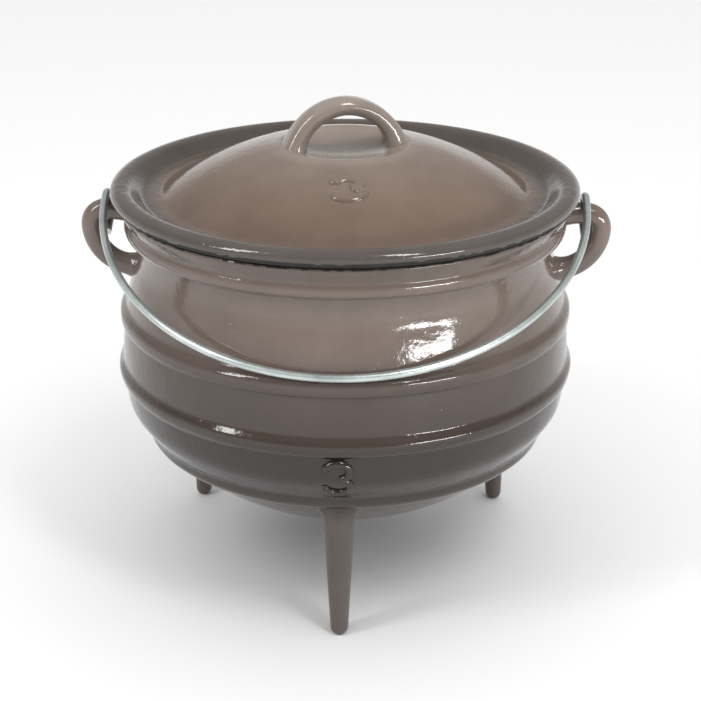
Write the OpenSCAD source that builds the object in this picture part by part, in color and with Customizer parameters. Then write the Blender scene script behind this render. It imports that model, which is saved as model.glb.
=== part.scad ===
// Three-legged cast cooking pot with a coal-channel lid and a swinging wire bail.
// Origin: on the pot's axis, at floor level. The ears lie along X and the bail rests at -Y.

/* [Pot] */
// Radius of the belly at its widest
belly_r = 133; // [126:0.5:140]
// Height of the belly's widest ring above the floor
belly_z = 133; // [128:0.5:138]
// Radius of the curve of the sides
side_curve = 170; // [160:1:185]
// Radius of the curve of the round bottom
bowl_curve = 155; // [150:1:160]
// Radius of the turn from the bottom into the sides
corner_curve = 20; // [14:0.5:26]
// Clear height under the bottom
bottom_z = 33.3; // [28:0.1:38]
// Height of the flat seat that the lid lies on
seat_z = 228; // [222:0.5:236]
// How far the neck draws in from the belly
neck_in = 11.3; // [9:0.1:13]
// Radius of the hollow curve of the neck
neck_curve = 36; // [32:0.5:42]
// How far the hollow curve runs past upright, in degrees
neck_turn = 14; // [8:1:18]
// Wall thickness of the pot and its lid
wall = 5; // [4:0.1:6]

/* [Rim and hoops] */
// How far the rim's edge stands inside the belly radius
rim_in = 1.5; // [0.5:0.1:3]
// Height of the flared band under the seat
rim_band_h = 10; // [8:0.5:12]
// How far the band draws in at its foot
rim_flare = 4; // [2:0.5:6]
// Width of the seat
seat_w = 12; // [10:0.5:14]
// Rounding of the bead under the band
bead_round = 5.5; // [4.5:0.1:6.5]
// How far the bead stands out from the neck
bead_out = 7.3; // [6:0.1:8.5]
// Height of each hoop's crest from the surface
hoop_out = 3; // [2:0.1:4]
// Width of each hoop
hoop_w = 13; // [10:0.5:16]
// Height of the top hoop, where the bail rests
hoop_top_z = 162; // [158:0.5:168]
// Height of the middle hoop
hoop_mid_z = 128; // [124:0.5:134]
// Angle of the low hoop below the level of the bowl's centre
hoop_low_angle = 41; // [38:0.5:44]

/* [Legs] */
// Distance of each foot from the axis
foot_r = 112; // [104:0.5:118]
// How far each leg leans outward, in degrees
leg_splay = 3; // [0:0.5:6]
// Radius of the foot's rounded end
foot_round = 5.2; // [4:0.1:7]
// Radius of the flat under each foot
foot_flat = 3; // [2:0.1:3.8]
// Radius of the leg below its root
leg_r = 8.5; // [7.5:0.1:10]
// Height at which the leg starts to flare
leg_flare_z = 62; // [56:0.5:66]
// Radius of the leg's root
leg_root_r = 12.5; // [11:0.1:14]

/* [Ears] */
// Radius of the ear's round bar
ear_rod = 6.3; // [5.5:0.1:7]
// How far the ear's arm, which is the bail's axis, lies under the seat
ear_drop = 11.5; // [10:0.5:15]
// How far the ear's outer bar stands from the belly radius
ear_out = 16.5; // [15:0.5:20]
// Radius of the ear's upper bend
ear_bend = 8.5; // [7:0.5:9]
// Height of the ear's root above the top hoop
ear_root_h = 20; // [18:0.5:22]
// Radius of the ear's lower bend
ear_low_bend = 25; // [20:0.5:25.5]

/* [Lid] */
// How far the lid's edge stands outside the belly radius
lid_over = 3; // [2:0.1:3.4]
// Height of the lid's raised flange above the seat
flange_h = 9.5; // [8:0.5:12]
// Width of the flange's top
flange_w = 11; // [9:0.5:13]
// Radius of the curve of the dome
dome_curve = 190; // [180:1:205]
// Height of the dome's crown above the seat
dome_h = 34; // [31:0.5:38]
// Radius of the dished middle
dish_r = 37; // [36:0.5:42]
// Depth of the dish below the crown
dish_depth = 10; // [8:0.5:11]
// Depth of the ring that centres the lid in the mouth
skirt_h = 6; // [4:0.5:9]
// Gap between that ring and the mouth
skirt_gap = 1.5; // [1:0.1:2.5]

/* [Handle] */
// Radius of the arched handle's middle line
handle_r = 31; // [29:0.5:32]
// Height of the handle's top above the seat
handle_top = 56; // [54:0.5:60]
// Thickness of the handle
handle_t = 9.5; // [8:0.1:11]
// Width of the handle
handle_w = 17; // [14:0.5:20]
// Turn of the handle about the lid's axis, in degrees
handle_turn = 15; // [0:1:90]

/* [Bail] */
// Radius of the bail's wire
wire_r = 2.25; // [1.8:0.05:2.5]
// How far the wire's middle line stands outside the belly radius
bail_over = 6.5; // [6.2:0.1:7]
// Straight stretch of wire between each hook and the bow
bail_straight = 2; // [1.5:0.1:4]
// Gap between the wire and the ear's arm inside each hook
hook_gap = 1.3; // [1:0.1:1.6]
// Length of each hook's straight end
hook_tip = 9; // [6:0.5:10]

/* [Hidden] */
$fn = 96;
arc_step = 3;
leg_angles = [-90, 30, 150];
cut = 400;
rest_gap = 0.3;

// Crossing of two circles, on the given side of the line between their centres
function meet(c1, r1, c2, r2, side) =
    let (
        d = norm(c2 - c1),
        along = (c2 - c1) / d,
        a = (r1 * r1 - r2 * r2 + d * d) / (2 * d),
        h = sqrt(r1 * r1 - a * a)
    )
    c1 + a * along + side * h * [along[1], -along[0]];

// Direction of a vector, in degrees
function angle_of(v) = atan2(v[1], v[0]);

// Points of an arc, without its first one
function arc(c, r, from, to) =
    let (n = ceil(abs(to - from) / arc_step))
    [for (i = [1:n]) c + r * [cos(from + (to - from) * i / n), sin(from + (to - from) * i / n)]];

// Radius of the circle whose cap has the given width and height
function cap_r(w, h) = (w * w / 4 + h * h) / (2 * h);

// The pot's wall is four arcs, each tangent to the next
bowl_c = [0, bottom_z + bowl_curve];
side_c = [belly_r - side_curve, belly_z];
corner_c = meet(side_c, side_curve - corner_curve, bowl_c, bowl_curve - corner_curve, 1);
neck_r = belly_r - neck_in;
neck_x = neck_r + neck_curve;
neck_rise = sqrt(pow(side_curve + neck_curve, 2) - pow(neck_x - side_c[0], 2));
neck_c = [neck_x, belly_z + neck_rise];
bowl_end = angle_of(corner_c - bowl_c);
corner_end = angle_of(corner_c - side_c);
side_end = angle_of(neck_c - side_c);

// Rim
rim_r = belly_r - rim_in;
mouth_r = rim_r - seat_w - 0.5;
band_z = seat_z - rim_band_h;
bead_z = band_z - 0.8 * bead_round;
edge_round = 1.5;

// Hoops are caps of circles on the wall
hoop_round = cap_r(hoop_w, hoop_out);
hoop_sink = hoop_round - hoop_out;
hoop_top_a = asin((hoop_top_z - belly_z) / side_curve);
hoop_mid_a = asin((hoop_mid_z - belly_z) / side_curve);
hoop_top_c = side_c + (side_curve - hoop_sink) * [cos(hoop_top_a), sin(hoop_top_a)];
hoop_mid_c = side_c + (side_curve - hoop_sink) * [cos(hoop_mid_a), sin(hoop_mid_a)];
hoop_low_c = bowl_c + (bowl_curve - hoop_sink) * [cos(hoop_low_angle), -sin(hoop_low_angle)];

// Ears
ear_z = seat_z - ear_drop;
ear_x = belly_r + ear_out;
ear_bend_x = ear_x - ear_bend;
ear_root_z = hoop_top_z + ear_root_h;
ear_low_z = ear_root_z + ear_low_bend;
ear_low_x = ear_x - ear_low_bend;

// Lid
lid_r = belly_r + lid_over;
flange_z = seat_z + flange_h;
flange_round = 2.5;
channel_z = seat_z + 1.5;
channel_out = lid_r - flange_w - (flange_z - channel_z);
dome_c = [0, seat_z + dome_h - dome_curve];
dish_sag = dish_depth - dome_curve + sqrt(dome_curve * dome_curve - dish_r * dish_r);
dish_curve = cap_r(2 * dish_r, dish_sag);
dish_c = [0, seat_z + dome_h - dish_depth + dish_curve];
dish_edge = meet(dome_c, dome_curve, dish_c, dish_curve, 1);
dish_under = meet(dome_c, dome_curve - wall, dish_c, dish_curve + wall, 1);
skirt_r = mouth_r - skirt_gap;
dome_foot = [dome_curve * cos(asin((channel_z - dome_c[1]) / dome_curve)), channel_z];
ceiling_z = channel_z - wall;
ceiling_a = asin((ceiling_z - dome_c[1]) / (dome_curve - wall));

// Bail
hook_r = ear_rod + hook_gap + wire_r;
bow_r = belly_r + bail_over;
bail_reach = bow_r + bail_straight;
rest_arm = norm([bail_reach, hook_r]);
rest_touch = hoop_round + wire_r + rest_gap;
rest_point = meet([0, ear_z], rest_arm, hoop_top_c, rest_touch, -1);
rest_tilt = atan2(ear_z - rest_point[1], rest_point[0]) + atan2(hook_r, bail_reach);

// Points of the pot's wall, moved in from the outer face by t
function wall_line(t) = concat(
    [[0, bottom_z + t]],
    arc(bowl_c, bowl_curve - t, -90, bowl_end),
    arc(corner_c, corner_curve - t, bowl_end, corner_end),
    arc(side_c, side_curve - t, corner_end, side_end),
    arc(neck_c, neck_curve + t, 180 + side_end, 180 - neck_turn)
);

// Section of the pot without its hollow
module pot_section() {
    neck_top_r = neck_c[0] - neck_curve * cos(neck_turn);
    polygon(concat(
        wall_line(0),
        [
            [neck_top_r, band_z],
            [rim_r - rim_flare, band_z],
            [rim_r, seat_z - edge_round],
            [rim_r - edge_round, seat_z],
            [0, seat_z]
        ]
    ));
    translate([neck_r + bead_out - bead_round, bead_z]) circle(r = bead_round);
    for (c = [hoop_top_c, hoop_mid_c, hoop_low_c]) {
        translate(c) circle(r = hoop_round);
    }
}

// Section of the pot's hollow
module hollow_section() {
    polygon(concat(
        wall_line(wall),
        [
            [mouth_r, band_z],
            [mouth_r, seat_z + 1],
            [0, seat_z + 1]
        ]
    ));
}

// One leg at the given angle about the axis, with its foot's flat on the floor
module leg(angle) {
    foot_up = sqrt(foot_round * foot_round - foot_flat * foot_flat);
    root_z = hoop_low_c[1] + wall;
    rotate([0, 0, angle]) translate([foot_r, 0, foot_up]) rotate([0, -leg_splay, 0]) {
        sphere(r = foot_round);
        cylinder(h = leg_flare_z - foot_up, r1 = foot_round, r2 = leg_r);
        translate([0, 0, leg_flare_z - foot_up]) {
            cylinder(h = root_z - leg_flare_z, r1 = leg_r, r2 = leg_root_r);
        }
    }
}

// Quarter ring of round bar in the XZ plane, starting at the given angle
module bar_bend(ring_r, bar_r, from) {
    rotate([90, 0, 0]) rotate([0, 0, from]) rotate_extrude(angle = 90) {
        translate([ring_r, 0]) circle(r = bar_r);
    }
}

// Ear on the +X side: an arm on the bail's axis, two bends and a root at the neck
module ear() {
    translate([neck_r, 0, ear_z]) rotate([0, 90, 0]) {
        cylinder(h = ear_bend_x - neck_r, r = ear_rod);
    }
    translate([ear_bend_x, 0, ear_z - ear_bend]) bar_bend(ear_bend, ear_rod, 0);
    translate([ear_x, 0, ear_low_z]) cylinder(h = ear_z - ear_bend - ear_low_z, r = ear_rod);
    translate([ear_low_x, 0, ear_low_z]) bar_bend(ear_low_bend, ear_rod, -90);
    translate([neck_r, 0, ear_root_z]) rotate([0, 90, 0]) {
        cylinder(h = ear_low_x - neck_r, r = ear_rod);
    }
}

// The pot: bowl, rim, hoops, legs and ears in one casting
module pot() {
    color([0.42, 0.36, 0.32]) difference() {
        union() {
            rotate_extrude() pot_section();
            for (a = leg_angles) {
                leg(a);
            }
            ear();
            mirror([1, 0, 0]) ear();
        }
        rotate_extrude() hollow_section();
        translate([-cut / 2, -cut / 2, -cut]) cube(cut);
    }
}

// Section of the lid
module lid_section() {
    dish_a = angle_of(dish_edge - dish_c);
    dome_a = angle_of(dish_edge - dome_c);
    dome_foot_a = angle_of(dome_foot - dome_c);
    under_dome_a = angle_of(dish_under - dome_c);
    under_dish_a = angle_of(dish_under - dish_c);
    polygon(concat(
        [[0, dish_c[1] - dish_curve]],
        arc(dish_c, dish_curve, -90, dish_a),
        arc(dome_c, dome_curve, dome_a, dome_foot_a),
        [
            [channel_out, channel_z],
            [lid_r - flange_w, flange_z - 0.5]
        ],
        arc([lid_r - flange_w + flange_round, flange_z - flange_round], flange_round, 120, 90),
        arc([lid_r - flange_round, flange_z - flange_round], flange_round, 90, 0),
        [
            [lid_r, seat_z + 5],
            [rim_r + 2, seat_z + 1],
            [rim_r - edge_round, seat_z],
            [skirt_r, seat_z],
            [skirt_r, seat_z - skirt_h],
            [skirt_r - wall, seat_z - skirt_h],
            [skirt_r - wall, ceiling_z]
        ],
        arc(dome_c, dome_curve - wall, ceiling_a - 0.01, under_dome_a),
        arc(dish_c, dish_curve + wall, under_dish_a, -90)
    ));
}

// The lid: dome, channel, flange, centring ring and arched handle in one casting
module lid() {
    handle_c = seat_z + handle_top - handle_t / 2 - handle_r;
    handle_sink = asin((dish_c[1] - dish_curve - handle_c + 1.5) / handle_r);
    color([0.50, 0.43, 0.38]) union() {
        rotate_extrude() lid_section();
        rotate([0, 0, handle_turn]) translate([0, 0, handle_c]) {
            rotate([90, 0, 0]) rotate([0, 0, handle_sink]) {
                rotate_extrude(angle = 180 - 2 * handle_sink) handle_section();
            }
        }
    }
}

// Section of the handle: a flat bar with round edges
module handle_section() {
    flat = handle_w - handle_t;
    translate([handle_r - handle_t / 2, -flat / 2]) square([handle_t, flat]);
    for (s = [-1, 1]) {
        translate([handle_r, s * flat / 2]) circle(r = handle_t / 2);
    }
}

// One end of the bail: a hook about the X axis with a short straight end
module hook() {
    rotate([90, 0, 90]) rotate([0, 0, -90]) rotate_extrude(angle = 180) {
        translate([hook_r, 0]) circle(r = wire_r);
    }
    translate([0, 0, -hook_r]) rotate([90, 0, 0]) cylinder(h = hook_tip, r = wire_r);
    translate([0, 0, hook_r]) rotate([90, 0, 0]) cylinder(h = bail_straight, r = wire_r);
}

// The bail: one bent wire, lying forward against the top hoop
module bail() {
    color([0.62, 0.65, 0.63]) translate([0, 0, ear_z]) rotate([rest_tilt, 0, 0]) {
        translate([0, -bail_straight, hook_r]) rotate([0, 0, 180]) rotate_extrude(angle = 180) {
            translate([bow_r, 0]) circle(r = wire_r);
        }
        translate([bow_r, 0, 0]) hook();
        mirror([1, 0, 0]) translate([bow_r, 0, 0]) hook();
    }
}

pot();
lid();
bail();
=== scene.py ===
import math

import bpy
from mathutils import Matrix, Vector, noise


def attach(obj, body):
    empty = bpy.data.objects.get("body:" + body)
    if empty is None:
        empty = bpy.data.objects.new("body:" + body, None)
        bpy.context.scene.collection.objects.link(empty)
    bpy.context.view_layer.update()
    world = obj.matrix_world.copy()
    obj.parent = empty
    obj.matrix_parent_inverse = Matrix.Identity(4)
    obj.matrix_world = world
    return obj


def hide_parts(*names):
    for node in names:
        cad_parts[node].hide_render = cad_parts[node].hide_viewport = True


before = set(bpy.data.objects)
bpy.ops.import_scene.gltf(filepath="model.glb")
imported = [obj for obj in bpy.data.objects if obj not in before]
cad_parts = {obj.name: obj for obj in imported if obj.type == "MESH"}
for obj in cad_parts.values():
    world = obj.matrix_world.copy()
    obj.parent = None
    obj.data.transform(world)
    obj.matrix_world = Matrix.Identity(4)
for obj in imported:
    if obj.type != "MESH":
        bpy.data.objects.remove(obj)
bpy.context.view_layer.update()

MM = 0.001

# Pot, in millimetres, as in the part's source
BELLY_R = 133.0
BELLY_Z = 133.0
SIDE_CURVE = 170.0
BOWL_CURVE = 155.0
CORNER_CURVE = 20.0
BOTTOM_Z = 33.3
SEAT_Z = 228.0
NECK_IN = 11.3
NECK_CURVE = 36.0
NECK_END_Z = 209.0
WALL = 5.0
RIM_R = 131.5
RIM_EDGE = 1.5
MOUTH_R = 119.0
BAND_Z = 218.0
BAND_R = 127.5
BEAD_ROUND = 5.5
BEAD_R = 123.5
BEAD_Z = 213.6
BEAD_FROM = -100.0
BEAD_TO = 48.0
HOOP_OUT = 2.9
HOOP_W = 13.0
HOOP_REACH = 0.75 * HOOP_W
HOOP_TOP_Z = 162.0
HOOP_MID_Z = 128.0
HOOP_LOW_ANGLE = 41.0

# Legs: the sole is given by heights and radii
LEG_ANGLES = (-90.0, 30.0, 150.0)
FOOT_R = 112.0
LEG_SPLAY = 3.0
SOLE = [(0.0, 2.94), (0.25, 3.35)]
SOLE_R = 3.0
FOOT_ROUND = 5.2
FOOT_FROM = -48.0
LEG_R = 8.5
LEG_FLARE_Z = 65.0
LEG_FILLET = 6.5
ROOT_Z = 80.0
ROOT_REACH = 113.0
ROOT_PROUD = 0.4

# Ears: their ends lie inside the pot's wall
EAR_Z = 216.5
EAR_X = 149.5
EAR_ROD = 6.25
EAR_BEND = 8.5
EAR_ROOT_Z = 182.0
EAR_LOW_BEND = 25.0
EAR_LOW_TURN = 72.0
EAR_LOW_DROP = 1.0
EAR_END_X = 122.0
EAR_TOP_HIDDEN = 4
EAR_LOW_HIDDEN = 3
EAR_SWELL = 2.2
EAR_SWELL_LENGTH = 3.0

# Lid: the flange is given by distances in from the lid's edge and heights above the seat
LID_R = 136.0
FLANGE = [(11.0, 8.9), (8.5, 9.5), (4.2, 9.5), (1.3, 8.3), (0.0, 5.7), (0.2, 4.4), (2.5, 1.0), (6.0, 0.0)]
CHANNEL_Z = 229.5
CHANNEL_OUT = 117.0
DOME_CURVE = 190.0
DOME_TOP = 262.0
DISH_R = 37.0
DISH_DEPTH = 10.0
SKIRT_R = 117.5
SKIRT_H = 6.0

# Handle
HANDLE_R = 31.0
HANDLE_TOP = 284.0
HANDLE_T = 9.5
HANDLE_W = 17.0
HANDLE_TURN = 15.0
HANDLE_FROM = 6.0
HANDLE_SWEEP = 168.0
HANDLE_SPREAD = 3.6
HANDLE_SPREAD_STEPS = 6.0
HANDLE_FLATNESS = 3.0

# Raised size figures: arcs of a figure one unit tall, as centre height, radius, start and end
FIGURE_ARCS = [(0.25, 0.25, 178.0, -68.0), (-0.24, 0.26, 68.0, -182.0)]
FIGURE_SPAN = 0.52
FIGURE_STEP = 0.035
FIGURE_TAPER = (0.45, 0.78, 0.94)
FIGURE_Z = 108.0
FIGURE_W = 13.8
FIGURE_H = 20.5
FIGURE_STROKE = 4.5
FIGURE_RISE = 2.4
LID_FIGURE_X = 3.7
LID_FIGURE_Y = -65.5
LID_FIGURE_TURN = 8.0
LID_FIGURE_W = 15.5
LID_FIGURE_H = 16.5
LID_FIGURE_STROKE = 6.5
LID_FIGURE_RISE = 2.0
LID_FIGURE_SINK = 0.4

# Unevenness of the castings
UNEVEN_SCALE = 22.0
UNEVEN_SEED = 3.7
POT_UNEVEN = 0.5
LID_UNEVEN = 0.3

# Fineness of the meshes
AROUND = 224
BAR_AROUND = 32
LEG_AROUND = 40
LEG_STEPS = 24
ROOT_STEPS = 12
HANDLE_AROUND = 36
HANDLE_STEPS = 64
FIGURE_AROUND = 16
WALL_STEP = 2.2
RIM_STEP = 0.9
HOOP_STEP = 0.75
HOLLOW_STEP = 6.0
SKIRT_STEP = 3.0
FOOT_STEP = 1.0
EAR_STEP = 1.5
RIM_SOFT = 3
LID_SOFT = 5
EAR_SOFT = 4

# Enamel colour with painted light and shade: graded up the pot, and from the middle of the lid outward,
# over these spans in metres
POT_SPAN = 0.24
# Painted shade and light: darkest on the low belly between the lower hoops, lighter on the upper belly
# that faces the light, darker again at the bead under the rim
POT_LIGHT_AND_SHADE_TONES = [
    (0.0, (0.07, 0.056, 0.05)),
    (0.3, (0.062, 0.048, 0.042)),
    (0.38, (0.018, 0.012, 0.01)),
    (0.5, (0.018, 0.013, 0.011)),
    (0.56, (0.042, 0.029, 0.023)),
    (0.66, (0.06, 0.043, 0.036)),
    (0.72, (0.118, 0.09, 0.077)),
    (0.86, (0.16, 0.125, 0.107)),
    (0.92, (0.108, 0.08, 0.067)),
]
LID_SPAN = 0.14
# Painted light and shade: lightest in the middle of the lid, where a painted reflection of the sky lies,
# darker outward, darkest on the channel and the flange
LID_LIGHT_AND_SHADE_TONES = [
    (0.0, (0.19, 0.158, 0.136)),
    (0.24, (0.18, 0.15, 0.128)),
    (0.34, (0.13, 0.099, 0.08)),
    (0.6, (0.108, 0.076, 0.057)),
    (0.76, (0.092, 0.064, 0.048)),
    (0.82, (0.05, 0.039, 0.032)),
    (0.89, (0.052, 0.043, 0.038)),
    (1.0, (0.066, 0.055, 0.05)),
]
MOTTLE_TONES = [(0.3, (0.8, 0.79, 0.78)), (0.7, (1.0, 1.0, 1.0))]
PIT_TONES = [(0.04, (0.0, 0.0, 0.0)), (0.12, (1.0, 1.0, 1.0))]
ZINC_TONES = [(0.3, (0.42, 0.47, 0.46)), (0.7, (0.62, 0.68, 0.66))]
IRON_TONES = [(0.3, (0.006, 0.006, 0.006)), (0.7, (0.022, 0.02, 0.019))]

# Bare iron: lowest and highest place and inner radius of each ring, and how ragged its edge is
POT_BARE = (SEAT_Z - 1.2, SEAT_Z + 2.0, MOUTH_R + 2.0)
LID_BARE = (SEAT_Z - 1.0, SEAT_Z + 3.6, MOUTH_R + 4.0)
RAGGED = 0.7
RAGGED_SCALE = 3.0

# Camera, in metres and degrees
CAMERA_OUT = 0.8918
CAMERA_UP = 0.5049
CAMERA_SIDE = 1.9
CAMERA_PITCH = 22.92
CAMERA_YAW = 0.2
CAMERA_LENS = 82.01
CAMERA_SENSOR = 36.0

# Studio, in metres: each lamp has a place, a width, a height and a power
WALL_TONES = [(0.0, (0.85, 0.85, 0.85)), (0.1, (0.85, 0.85, 0.85)), (0.3, (0.36, 0.36, 0.36))]
LAMP_AIM = (0.0, 0.0, 0.2)
LAMPS = {
    "window_right": ((1.45, -1.5, 0.4), 0.9, 0.18, 15),
    "strip_right": ((0.75, -0.95, 1.95), 0.3, 0.95, 15),
    "strip_left": ((-1.3, -0.85, 1.45), 0.3, 1.2, 15),
}
SKY_POWER = 4.1
SKY_ANGLE = 110.0
SKY_TILT = (4.0, 6.0)
FLOOR_HALF = 4.0
FLOOR_DROP = 0.0002
FLOOR_TONE = (0.52, 0.52, 0.52, 1.0)
FLOOR_ROUGH = 0.7

# Sockets of the colour mix node
MIX_A = 6
MIX_B = 7
MIX_RESULT = 2


def rad(degrees):
    """An angle in radians."""
    return math.radians(degrees)


def distance(p, q):
    """Distance of two points of the section plane."""
    return math.hypot(q[0] - p[0], q[1] - p[1])


def between(p, q, t):
    """The point at a share t of the way from p to q."""
    return (p[0] + (q[0] - p[0]) * t, p[1] + (q[1] - p[1]) * t)


def turns(count):
    """Angles of points spread evenly round a circle."""
    return [2 * math.pi * k / count for k in range(count)]


def meet(c1, r1, c2, r2):
    """Outer crossing of two circles in the section plane."""
    dx, dz = c2[0] - c1[0], c2[1] - c1[1]
    d = distance(c1, c2)
    a = (r1 * r1 - r2 * r2 + d * d) / (2 * d)
    h = math.sqrt(r1 * r1 - a * a)
    return (c1[0] + (a * dx + h * dz) / d, c1[1] + (a * dz - h * dx) / d)


def angle_of(start, end):
    """Direction from one point of the section plane to another, in degrees."""
    return math.degrees(math.atan2(end[1] - start[1], end[0] - start[0]))


def arc(centre, radius, start, end, step):
    """Points of an arc in the section plane, one about every step."""
    count = max(2, math.ceil(abs(rad(end - start)) * radius / step))
    angles = [rad(start + (end - start) * i / count) for i in range(count + 1)]
    return [(centre[0] + radius * math.cos(a), centre[1] + radius * math.sin(a)) for a in angles]


def resample(points, step):
    """The same line with a point about every step, its corners kept."""
    out = [points[0]]
    for p, q in zip(points, points[1:]):
        count = max(1, round(distance(p, q) / step))
        out += [between(p, q, i / count) for i in range(1, count + 1)]
    return out


def soften(points, rounds):
    """Rounds the corners of a line, as a casting's are, and keeps its ends."""
    for _ in range(rounds):
        inner = [
            ((a[0] + 2 * b[0] + c[0]) / 4, (a[1] + 2 * b[1] + c[1]) / 4)
            for a, b, c in zip(points, points[1:], points[2:])
        ]
        points = [points[0]] + inner + [points[-1]]
    return points


def refine(points, crests):
    """Adds points to a line near each crest, where a hoop needs them."""
    out = [points[0]]
    for p, q in zip(points, points[1:]):
        if any(distance(q, crest) < HOOP_REACH for crest in crests):
            out += resample([p, q], HOOP_STEP)[1:]
        else:
            out.append(q)
    return out


def hoop_lift(t):
    """Height of a hoop, from 1 at its crest to 0 half its width away: crisp below, soft above."""
    if abs(t) >= 1:
        return 0.0
    if t < 0:
        return math.sqrt(1 - t * t)
    return 0.5 + 0.5 * math.cos(math.pi * t)


def raise_hoops(points, crests):
    """Moves a line outward into a hoop about each crest."""
    out = []
    for i, p in enumerate(points):
        a, b = points[max(i - 1, 0)], points[min(i + 1, len(points) - 1)]
        ahead = ((b[0] - a[0]) / distance(a, b), (b[1] - a[1]) / distance(a, b))
        lift = 0.0
        for crest in crests:
            if distance(p, crest) < HOOP_W:
                along = (p[0] - crest[0]) * ahead[0] + (p[1] - crest[1]) * ahead[1]
                lift = max(lift, HOOP_OUT * hoop_lift(2 * along / HOOP_W))
        out.append((p[0] + ahead[1] * lift, p[1] - ahead[0] * lift))
    return out


# Centres and ends of the wall's arcs
BOWL_C = (0.0, BOTTOM_Z + BOWL_CURVE)
SIDE_C = (BELLY_R - SIDE_CURVE, BELLY_Z)
CORNER_C = meet(SIDE_C, SIDE_CURVE - CORNER_CURVE, BOWL_C, BOWL_CURVE - CORNER_CURVE)
NECK_X = BELLY_R - NECK_IN + NECK_CURVE
NECK_C = (NECK_X, BELLY_Z + math.sqrt((SIDE_CURVE + NECK_CURVE) ** 2 - (NECK_X - SIDE_C[0]) ** 2))
BOWL_END = angle_of(BOWL_C, CORNER_C)
CORNER_END = angle_of(SIDE_C, CORNER_C)
SIDE_END = angle_of(SIDE_C, NECK_C)
NECK_END = 180 - math.degrees(math.asin((NECK_END_Z - NECK_C[1]) / NECK_CURVE))

# Centres of the lid's arcs
DISH_SAG = DISH_DEPTH - DOME_CURVE + math.sqrt(DOME_CURVE ** 2 - DISH_R ** 2)
DISH_CURVE = (DISH_R ** 2 + DISH_SAG ** 2) / (2 * DISH_SAG)
DOME_C = (0.0, DOME_TOP - DOME_CURVE)
DISH_C = (0.0, DOME_TOP - DISH_DEPTH + DISH_CURVE)


def wall_line(inset, step):
    """The wall's section from the bottom to the neck, moved in by inset."""
    return (
        arc(BOWL_C, BOWL_CURVE - inset, -90, BOWL_END, step)
        + arc(CORNER_C, CORNER_CURVE - inset, BOWL_END, CORNER_END, step)[1:]
        + arc(SIDE_C, SIDE_CURVE - inset, CORNER_END, SIDE_END, step)[1:]
        + arc(NECK_C, NECK_CURVE + inset, 180 + SIDE_END, NECK_END, step)[1:]
    )


def side_point(z):
    """Point of the side's curve at a height."""
    return (SIDE_C[0] + math.sqrt(SIDE_CURVE ** 2 - (z - SIDE_C[1]) ** 2), z)


def bowl_z(r):
    """Height of the bowl's outer face at a distance from the axis."""
    return BOWL_C[1] - math.sqrt(BOWL_CURVE ** 2 - r * r)


def pot_line():
    """Whole section of the pot: outer wall, rim, mouth and hollow."""
    low = rad(-HOOP_LOW_ANGLE)
    crests = [
        (BOWL_CURVE * math.cos(low), BOWL_C[1] + BOWL_CURVE * math.sin(low)),
        side_point(HOOP_MID_Z),
        side_point(HOOP_TOP_Z),
    ]
    outer = raise_hoops(refine(wall_line(0, WALL_STEP), crests), crests)
    bead = arc((BEAD_R, BEAD_Z), BEAD_ROUND, BEAD_FROM, BEAD_TO, RIM_STEP)
    rim = [
        (BAND_R, BAND_Z),
        (RIM_R, SEAT_Z - RIM_EDGE),
        (RIM_R - RIM_EDGE, SEAT_Z),
        (MOUTH_R, SEAT_Z),
        (MOUTH_R, BAND_Z),
    ]
    rim = soften(resample([outer[-1]] + bead + rim, RIM_STEP), RIM_SOFT)
    return outer + rim[1:] + wall_line(WALL, HOLLOW_STEP)[::-1]


def lathe(line):
    """Turns a section that starts and ends on the axis into a closed mesh."""
    rings = line[1:-1]
    verts, faces = [(0.0, 0.0, line[0][1])], []
    for r, z in rings:
        verts += [(r * math.cos(a), r * math.sin(a), z) for a in turns(AROUND)]
    verts.append((0.0, 0.0, line[-1][1]))
    last = len(verts) - 1
    top = last - AROUND
    for k in range(AROUND):
        n = (k + 1) % AROUND
        faces.append((0, 1 + n, 1 + k))
        for j in range(len(rings) - 1):
            a, b = 1 + j * AROUND, 1 + (j + 1) * AROUND
            faces.append((a + k, a + n, b + n, b + k))
        faces.append((top + k, top + n, last))
    return verts, faces


def tube(rings):
    """Skins rings of equal count into a closed mesh with flat ends."""
    around = len(rings[0])
    verts = [p for ring in rings for p in ring]
    faces = [tuple(range(around))[::-1]]
    for j in range(len(rings) - 1):
        for k in range(around):
            n = (k + 1) % around
            a, b = j * around, (j + 1) * around
            faces.append((a + k, a + n, b + n, b + k))
    faces.append(tuple(range(len(verts) - around, len(verts))))
    return verts, faces


def sweep(path, radii):
    """Round bar along a path of points in the XZ plane, with a radius at each."""
    rings = []
    for i, p in enumerate(path):
        ahead = Vector(path[min(i + 1, len(path) - 1)]) - Vector(path[max(i - 1, 0)])
        side = ahead.normalized().cross(Vector((0, 1, 0))).normalized()
        other = side.cross(ahead.normalized())
        ring = []
        for a in turns(BAR_AROUND):
            ring.append(tuple(Vector(p) + radii[i] * (math.cos(a) * side + math.sin(a) * other)))
        rings.append(ring)
    return tube(rings)


def turn(mesh, degrees):
    """A mesh turned about the Z axis."""
    c, s = math.cos(rad(degrees)), math.sin(rad(degrees))
    verts, faces = mesh
    return [(c * x - s * y, s * x + c * y, z) for x, y, z in verts], faces


def mirror_x(mesh):
    """A mesh mirrored to the other side."""
    verts, faces = mesh
    return [(-x, y, z) for x, y, z in verts], [f[::-1] for f in faces]


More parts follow.
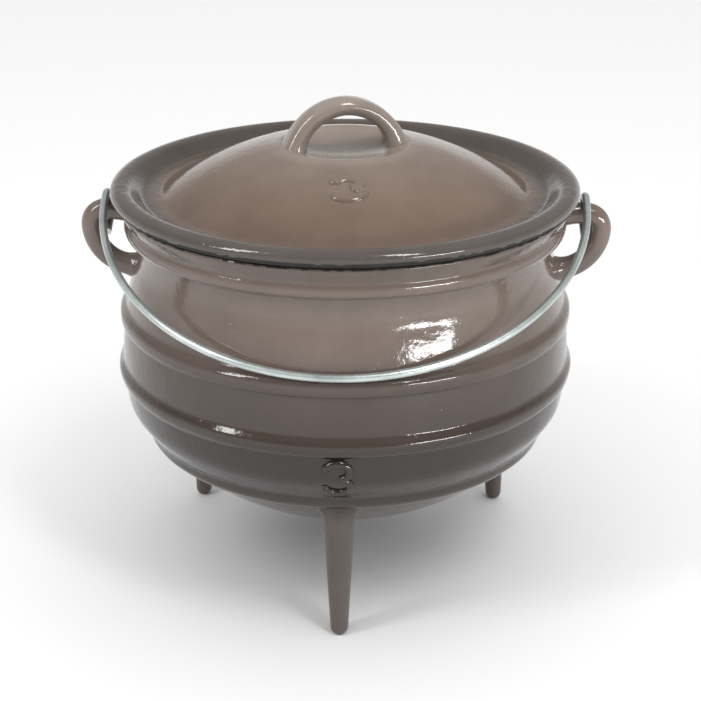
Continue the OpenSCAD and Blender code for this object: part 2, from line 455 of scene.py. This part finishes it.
def leg():
    """A tapered leg on +X, rounded at the foot and filleted into the bowl."""
    foot_up = math.sqrt(FOOT_ROUND ** 2 - SOLE_R ** 2)
    lean = math.tan(rad(LEG_SPLAY))
    shape = SOLE + [(foot_up + z, r) for r, z in arc((0, 0), FOOT_ROUND, FOOT_FROM, 0, FOOT_STEP)]
    low, high = (foot_up, FOOT_ROUND), (LEG_FLARE_Z, LEG_R)
    shape += [between(low, high, i / LEG_STEPS) for i in range(1, LEG_STEPS)]
    rings = []
    for z, r in shape:
        angles = turns(LEG_AROUND)
        rings.append([(FOOT_R - lean * z + r * math.cos(a), r * math.sin(a), z) for a in angles])
    for i in range(ROOT_STEPS + 1):
        rings.append([root_point(a, i / ROOT_STEPS, lean) for a in turns(LEG_AROUND)])
    return tube(rings)


def on_bowl(a, radius, lean):
    """Point of the bowl's face round the leg's axis, kept below the low hoop."""
    x = FOOT_R - lean * ROOT_Z + radius * math.cos(a)
    y = radius * math.sin(a)
    inward = min(1.0, ROOT_REACH / math.hypot(x, y))
    x, y = x * inward, y * inward
    return Vector((x, y, bowl_z(math.hypot(x, y)) + ROOT_PROUD))


def root_point(a, t, lean):
    """Point of the leg's root: t runs along a curve from the leg to the bowl."""
    x = FOOT_R - lean * LEG_FLARE_Z + LEG_R * math.cos(a)
    start = Vector((x, LEG_R * math.sin(a), LEG_FLARE_Z))
    corner = on_bowl(a, LEG_R + ROOT_PROUD, lean)
    end = on_bowl(a, LEG_R + LEG_FILLET, lean)
    return tuple(start.lerp(corner, t).lerp(corner.lerp(end, t), t))


def ear():
    """The ear on +X: round bar that swells where it joins the rim and the neck."""
    top_c = (EAR_X - EAR_BEND, EAR_Z - EAR_BEND)
    low_c = (EAR_X - EAR_LOW_BEND, EAR_ROOT_Z + EAR_LOW_BEND)
    line = [(EAR_END_X, EAR_Z), (top_c[0], EAR_Z)]
    line += arc(top_c, EAR_BEND, 90, 0, EAR_STEP)[1:]
    line += arc(low_c, EAR_LOW_BEND, 0, -EAR_LOW_TURN, EAR_STEP)
    line += [(EAR_END_X, EAR_ROOT_Z - EAR_LOW_DROP)]
    line = soften(resample(line, EAR_STEP), EAR_SOFT)
    radii = []
    for i in range(len(line)):
        from_end = EAR_STEP * max(0, min(i - EAR_TOP_HIDDEN, len(line) - EAR_LOW_HIDDEN - i))
        radii.append(EAR_ROD + EAR_SWELL * math.exp(-from_end / EAR_SWELL_LENGTH))
    return sweep([(x, 0.0, z) for x, z in line], radii)


def lid_top():
    """Section of the lid's upper face, from the dish over the flange to the seat."""
    edge = meet(DOME_C, DOME_CURVE, DISH_C, DISH_CURVE)
    foot = math.degrees(math.asin((CHANNEL_Z - DOME_C[1]) / DOME_CURVE))
    dish = arc(DISH_C, DISH_CURVE, -90, angle_of(DISH_C, edge), RIM_STEP)
    dome = arc(DOME_C, DOME_CURVE, angle_of(DOME_C, edge), foot, RIM_STEP)
    flange = [(LID_R - inward, SEAT_Z + up) for inward, up in FLANGE]
    return soften(resample(dish + dome[1:] + [(CHANNEL_OUT, CHANNEL_Z)] + flange, RIM_STEP), LID_SOFT)


def lid_line():
    """Whole section of the lid: upper face, centring ring and underside."""
    edge = meet(DOME_C, DOME_CURVE - WALL, DISH_C, DISH_CURVE + WALL)
    ceiling_z = CHANNEL_Z - WALL
    foot = math.degrees(math.asin((ceiling_z - DOME_C[1]) / (DOME_CURVE - WALL)))
    top = lid_top()
    skirt = [
        top[-1],
        (SKIRT_R, SEAT_Z),
        (SKIRT_R, SEAT_Z - SKIRT_H),
        (SKIRT_R - WALL, SEAT_Z - SKIRT_H),
        (SKIRT_R - WALL, ceiling_z),
    ]
    below = arc(DOME_C, DOME_CURVE - WALL, foot, angle_of(DOME_C, edge), HOLLOW_STEP)
    below += arc(DISH_C, DISH_CURVE + WALL, angle_of(DISH_C, edge), -90, HOLLOW_STEP)[1:]
    return (top + resample(skirt, SKIRT_STEP)[1:] + below)[::-1]


def handle():
    """The arched handle: a flat bar with round edges that spreads at both feet."""
    rings = []
    centre = Vector((0, 0, HANDLE_TOP - HANDLE_T / 2 - HANDLE_R))
    for i in range(HANDLE_STEPS + 1):
        a = rad(HANDLE_FROM + HANDLE_SWEEP * i / HANDLE_STEPS)
        out = Vector((math.cos(a), 0, math.sin(a)))
        spread = HANDLE_SPREAD * math.exp(-min(i, HANDLE_STEPS - i) / HANDLE_SPREAD_STEPS)
        half = HANDLE_T / 2 + spread
        ring = []
        for b in turns(HANDLE_AROUND):
            flat = (HANDLE_W - HANDLE_T) / 2 * max(-1.0, min(1.0, HANDLE_FLATNESS * math.sin(b)))
            wide = Vector((0, half * math.sin(b) + flat, 0))
            ring.append(tuple(centre + (HANDLE_R + half * math.cos(b)) * out + wide))
        rings.append(ring[::-1])
    return turn(tube(rings), HANDLE_TURN)


def figure_path():
    """The middle line of a round-topped figure 3, one unit tall, centred."""
    path = []
    for height, radius, start, end in FIGURE_ARCS:
        path += arc((0.0, height), radius, start, end, FIGURE_STEP)
    return path


def figure(place, width, height, stroke, rise):
    """The figure as a bar on a surface: place maps its plane to points and normals."""
    rings = []
    path = [(u * width / FIGURE_SPAN, v * height) for u, v in figure_path()]
    for i, (u, v) in enumerate(path):
        p, normal = place(u, v)
        ahead = place(*path[min(i + 1, len(path) - 1)])[0] - place(*path[max(i - 1, 0)])[0]
        side = ahead.normalized().cross(normal).normalized()
        end = min(i, len(path) - 1 - i)
        taper = FIGURE_TAPER[end] if end < len(FIGURE_TAPER) else 1.0
        across, up = taper * stroke / 2 * side, taper * rise * normal
        rings.append([tuple(p + math.cos(a) * across + math.sin(a) * up) for a in turns(FIGURE_AROUND)])
    return tube(rings)


def on_belly(u, v):
    """Place of the belly's figure: a point of the wall above the low hoop, and its normal."""
    z = FIGURE_Z + v
    line = wall_line(0, WALL_STEP)
    p, q = next((p, q) for p, q in zip(line, line[1:]) if p[1] <= z < q[1])
    r = between(p, q, (z - p[1]) / (q[1] - p[1]))[0]
    a = rad(-90) + u / r
    lean = math.atan2(q[0] - p[0], q[1] - p[1])
    normal = Vector((math.cos(a) * math.cos(lean), math.sin(a) * math.cos(lean), -math.sin(lean)))
    return Vector((r * math.cos(a), r * math.sin(a), z)), normal


def on_dome(u, v):
    """Place of the lid's figure: a point of the dome in front of the handle, and its normal."""
    turned = rad(LID_FIGURE_TURN)
    x = LID_FIGURE_X + u * math.cos(turned) - v * math.sin(turned)
    y = LID_FIGURE_Y + u * math.sin(turned) + v * math.cos(turned)
    rise = math.sqrt(DOME_CURVE ** 2 - x * x - y * y)
    normal = Vector((x, y, rise)) / DOME_CURVE
    return Vector((x, y, DOME_C[1] + rise)) - LID_FIGURE_SINK * normal, normal


def roughen(verts, amount):
    """Gives cast unevenness to a list of points: always inward, so that sizes stay."""
    out = []
    for v in verts:
        p = Vector(v)
        flat = Vector((p.x, p.y, 0))
        lift = noise.noise(p / UNEVEN_SCALE + Vector((UNEVEN_SEED, 0, 0))) * 0.5 - 0.5
        direction = flat.normalized() if flat.length > 1 else Vector((0, 0, 0))
        out.append(tuple(p + direction * lift * amount))
    return out


def piece(name, parts, body, node, uneven):
    """Builds one object in metres from meshes in millimetres, in place of a CAD node."""
    verts, faces = [], []
    for part_verts, part_faces in parts:
        base = len(verts)
        verts += part_verts
        faces += [tuple(base + i for i in f) for f in part_faces]
    mesh = bpy.data.meshes.new(name)
    mesh.from_pydata([(x * MM, y * MM, z * MM) for x, y, z in roughen(verts, uneven)], [], faces)
    mesh.update()
    mesh.polygons.foreach_set("use_smooth", [True] * len(mesh.polygons))
    obj = bpy.data.objects.new(name, mesh)
    bpy.context.scene.collection.objects.link(obj)
    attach(obj, body)
    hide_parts(node)
    return obj


def bare_faces(obj, low, high, inner):
    """Gives the second material to the faces of a ring, with a ragged edge."""
    for face in obj.data.polygons:
        c = face.center / MM
        ragged = RAGGED * noise.noise(c / RAGGED_SCALE)
        if math.hypot(c.x, c.y) > inner and low <= c.z + ragged <= high:
            face.material_index = 1


def camera():
    """The camera at the photograph's place, looking down at the pot's front."""
    data = bpy.data.cameras.new("camera")
    data.lens = CAMERA_LENS
    data.sensor_width = CAMERA_SENSOR
    data.sensor_fit = "HORIZONTAL"
    obj = bpy.data.objects.new("camera", data)
    side = rad(CAMERA_SIDE)
    obj.location = (CAMERA_OUT * math.sin(side), -CAMERA_OUT * math.cos(side), CAMERA_UP)
    obj.rotation_euler = (rad(90 - CAMERA_PITCH), 0, rad(CAMERA_SIDE - CAMERA_YAW))
    bpy.context.scene.collection.objects.link(obj)
    bpy.context.scene.camera = obj


class Shading:
    """A new node material: its node tree, its shader and its place on the object."""

    def __init__(self, name):
        self.material = bpy.data.materials.new(name)
        self.material.use_nodes = True
        self.tree = self.material.node_tree
        self.shader = self.tree.nodes["Principled BSDF"]
        self.where = self.tree.nodes.new("ShaderNodeTexCoord").outputs["Object"]

    def set(self, socket, value):
        """Sets a socket of the shader that is the same all over."""
        self.shader.inputs[socket].default_value = value

    def drive(self, socket, output):
        """Links an output to a socket of the shader."""
        self.tree.links.new(output, self.shader.inputs[socket])

    def noise(self, scale, detail=4.0, rough=0.55):
        """Cloud noise on the object."""
        node = new_node(self.tree, "ShaderNodeTexNoise", Scale=scale, Detail=detail, Roughness=rough)
        self.tree.links.new(self.where, node.inputs["Vector"])
        return node.outputs["Fac"]

    def spread(self, source, **limits):
        """A source mapped to other limits."""
        node = new_node(self.tree, "ShaderNodeMapRange", **limits)
        self.tree.links.new(source, node.inputs["Value"])
        return node.outputs["Result"]

    def bump(self, height, depth, strength, under=None):
        """Relief from a height, over other relief where that is given."""
        node = new_node(self.tree, "ShaderNodeBump", Strength=strength, Distance=depth)
        self.tree.links.new(height, node.inputs["Height"])
        if under:
            self.tree.links.new(under, node.inputs["Normal"])
        return node.outputs["Normal"]


def new_node(tree, kind, **values):
    """A node with some of its inputs set by name."""
    node = tree.nodes.new(kind)
    for key, value in values.items():
        node.inputs[key.replace("_", " ")].default_value = value
    return node


def ramp(tree, source, stops):
    """A colour ramp on a source, from a list of places and colours."""
    node = tree.nodes.new("ShaderNodeValToRGB")
    elements = node.color_ramp.elements
    elements[0].position, elements[0].color = stops[0][0], (*stops[0][1], 1)
    elements[1].position, elements[1].color = stops[-1][0], (*stops[-1][1], 1)
    for place, colour in stops[1:-1]:
        elements.new(place).color = (*colour, 1)
    tree.links.new(source, node.inputs["Fac"])
    return node.outputs["Color"]


def height_of(look):
    """Height above the floor."""
    split = look.tree.nodes.new("ShaderNodeSeparateXYZ")
    look.tree.links.new(look.where, split.inputs["Vector"])
    return split.outputs["Z"]


def reach_of(look):
    """Distance from the pot's axis."""
    split = look.tree.nodes.new("ShaderNodeSeparateXYZ")
    flat = look.tree.nodes.new("ShaderNodeCombineXYZ")
    length = look.tree.nodes.new("ShaderNodeVectorMath")
    length.operation = "LENGTH"
    look.tree.links.new(look.where, split.inputs["Vector"])
    look.tree.links.new(split.outputs["X"], flat.inputs["X"])
    look.tree.links.new(split.outputs["Y"], flat.inputs["Y"])
    look.tree.links.new(flat.outputs["Vector"], length.inputs[0])
    return length.outputs["Value"]


def painted_shade_and_mottle(look, light_and_shade_tones, span, measure):
    """Painted light and shade graded along a measure of place, mottled by clouds."""
    # The ramp paints light and shade by place; the clouds over it are the enamel's own uneven tone
    shade = ramp(look.tree, look.spread(measure(look), From_Max=span), light_and_shade_tones)
    mottle = ramp(look.tree, look.noise(26.0, detail=5.0, rough=0.6), MOTTLE_TONES)
    mix = look.tree.nodes.new("ShaderNodeMix")
    mix.data_type = "RGBA"
    mix.blend_type = "MULTIPLY"
    mix.inputs["Factor"].default_value = 1.0
    look.tree.links.new(shade, mix.inputs[MIX_A])
    look.tree.links.new(mottle, mix.inputs[MIX_B])
    return mix.outputs[MIX_RESULT]


def enamel(name, light_and_shade_tones, span, measure):
    """Glossy taupe enamel with painted light and shade graded by place, on a rough casting, wavy, with
    orange peel and pits.
    """
    look = Shading(name)
    look.drive("Base Color", painted_shade_and_mottle(look, light_and_shade_tones, span, measure))
    look.drive("Roughness", look.spread(look.noise(90.0), To_Min=0.05, To_Max=0.14))
    look.set("IOR", 1.52)
    look.set("Coat Weight", 0.12)
    look.set("Coat Roughness", 0.05)
    waves = look.bump(look.noise(22.0, detail=2.0), 0.0012, 0.35)
    dents = look.bump(look.noise(75.0, detail=3.0), 0.00035, 0.7, waves)
    peel = look.bump(look.noise(260.0, detail=3.0), 0.0002, 0.8, dents)
    cells = new_node(look.tree, "ShaderNodeTexVoronoi", Scale=150.0)
    look.tree.links.new(look.where, cells.inputs["Vector"])
    pits = ramp(look.tree, cells.outputs["Distance"], PIT_TONES)
    look.drive("Normal", look.bump(pits, 0.00022, 0.5, peel))
    return look.material


def zinc(name):
    """Bluish zinc on drawn wire, with soft clouds and dull spots."""
    look = Shading(name)
    look.drive("Base Color", ramp(look.tree, look.noise(70.0, rough=0.6), ZINC_TONES))
    look.drive("Roughness", look.spread(look.noise(300.0), To_Min=0.2, To_Max=0.42))
    look.set("Metallic", 0.85)
    look.drive("Normal", look.bump(look.noise(700.0), 0.0001, 0.4))
    return look.material


def bare_iron(name):
    """Dull black iron where lid and pot touch and the enamel stops."""
    look = Shading(name)
    look.drive("Base Color", ramp(look.tree, look.noise(240.0), IRON_TONES))
    look.set("Roughness", 0.75)
    look.drive("Normal", look.bump(look.noise(900.0), 0.0003, 0.8))
    return look.material


def floor():
    """A wide pale floor at the feet."""
    half = FLOOR_HALF
    mesh = bpy.data.meshes.new("floor")
    corners = [(-half, -half, 0), (half, -half, 0), (half, half, 0), (-half, half, 0)]
    mesh.from_pydata(corners, [], [(0, 1, 2, 3)])
    obj = bpy.data.objects.new("floor", mesh)
    obj.location.z = -FLOOR_DROP
    bpy.context.scene.collection.objects.link(obj)
    look = Shading("floor_white")
    look.set("Base Color", FLOOR_TONE)
    look.set("Roughness", FLOOR_ROUGH)
    mesh.materials.append(look.material)


def walls():
    """The room: pale walls at eye level, darker above."""
    world = bpy.data.worlds.new("world")
    bpy.context.scene.world = world
    world.use_nodes = True
    tree = world.node_tree
    split = tree.nodes.new("ShaderNodeSeparateXYZ")
    tree.links.new(tree.nodes.new("ShaderNodeTexCoord").outputs["Generated"], split.inputs["Vector"])
    tone = ramp(tree, split.outputs["Z"], WALL_TONES)
    tree.links.new(tone, tree.nodes["Background"].inputs["Color"])


def sky():
    """A wide soft light from above, which gloss doesn't show."""
    data = bpy.data.lights.new("sky", "SUN")
    data.energy = SKY_POWER
    data.angle = rad(SKY_ANGLE)
    obj = bpy.data.objects.new("sky", data)
    obj.rotation_euler = (rad(SKY_TILT[0]), rad(SKY_TILT[1]), 0)
    obj.visible_glossy = False
    bpy.context.scene.collection.objects.link(obj)


def lamp(name, place, width, height, power):
    """A soft rectangular lamp that faces the pot."""
    data = bpy.data.lights.new(name, "AREA")
    data.energy = power
    data.shape = "RECTANGLE"
    data.size = width
    data.size_y = height
    obj = bpy.data.objects.new(name, data)
    obj.location = place
    obj.rotation_euler = (Vector(LAMP_AIM) - Vector(place)).to_track_quat("-Z", "Y").to_euler()
    bpy.context.scene.collection.objects.link(obj)


def pot_casting(iron):
    """The pot with its legs, ears and raised figure, one casting."""
    legs = [turn(leg(), angle) for angle in LEG_ANGLES]
    number = figure(on_belly, FIGURE_W, FIGURE_H, FIGURE_STROKE, FIGURE_RISE)
    parts = [lathe(pot_line()), *legs, ear(), mirror_x(ear()), number]
    pot = piece("pot_casting", parts, "pot", "pot", POT_UNEVEN)
    # The pot's enamel has painted shade and light, graded by height
    pot.data.materials.append(enamel("pot_enamel", POT_LIGHT_AND_SHADE_TONES, POT_SPAN, height_of))
    pot.data.materials.append(iron)
    bare_faces(pot, *POT_BARE)


def lid_casting(iron):
    """The lid with its handle and raised figure, one casting."""
    number = figure(on_dome, LID_FIGURE_W, LID_FIGURE_H, LID_FIGURE_STROKE, LID_FIGURE_RISE)
    parts = [lathe(lid_line()), handle(), number]
    lid = piece("lid_casting", parts, "pot", "lid", LID_UNEVEN)
    # The lid's enamel has painted light in the middle and painted shade out on the flange
    lid.data.materials.append(enamel("lid_enamel", LID_LIGHT_AND_SHADE_TONES, LID_SPAN, reach_of))
    lid.data.materials.append(iron)
    bare_faces(lid, *LID_BARE)


def wire_bail():
    """The wire bail is the CAD node itself, with a zinc finish."""
    wire_finish = zinc("bail_wire")
    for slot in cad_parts["bail"].material_slots:
        slot.material = wire_finish


def main():
    """Camera, pieces and studio, in this order."""
    camera()
    iron = bare_iron("bare_iron")
    pot_casting(iron)
    lid_casting(iron)
    wire_bail()
    bpy.context.scene.view_settings.view_transform = "Standard"
    floor()
    walls()
    sky()
    for name, values in LAMPS.items():
        lamp(name, *values)


main()
